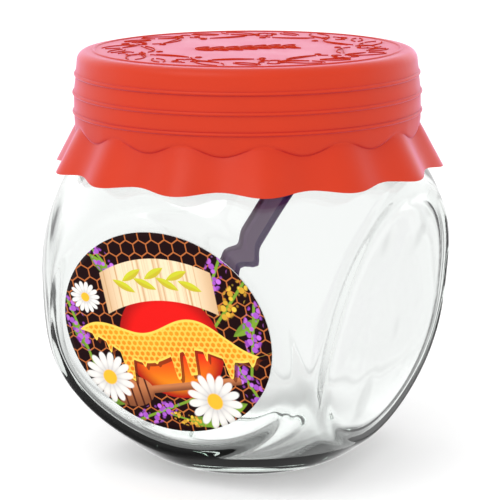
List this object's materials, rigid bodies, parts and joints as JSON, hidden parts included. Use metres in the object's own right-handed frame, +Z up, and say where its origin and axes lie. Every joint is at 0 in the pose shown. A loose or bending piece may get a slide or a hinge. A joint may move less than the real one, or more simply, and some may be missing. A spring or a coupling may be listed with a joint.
{
  "type": "glass jar with spoon",
  "caption": "Empty rounded glass storage jar with flat round side panels, a plastic lid shaped like a frilled cloth cover, a printed oval label and a plastic spoon sealed inside.",
  "frame": {"origin": "centre of the round foot, on the surface that the jar stands on", "axes": "+Z up along the jar's axis; -Y is the panel that carries the label; +X is to the right when looking at the label"},
  "size_m": [0.1062, 0.1054, 0.1135],
  "materials": {
    "clear_glass": "clear, glossy, slightly green in its thick edges",
    "red_plastic": "smooth satin orange-red moulding with soft highlights",
    "printed_film": null,
    "violet_plastic": "smooth violet moulded plastic"
  },
  "bodies": {
    "root": {"glass_jar": "clear_glass", "lid": "red_plastic", "label": "printed_film", "spoon": "violet_plastic"}
  },
  "joints": []
}
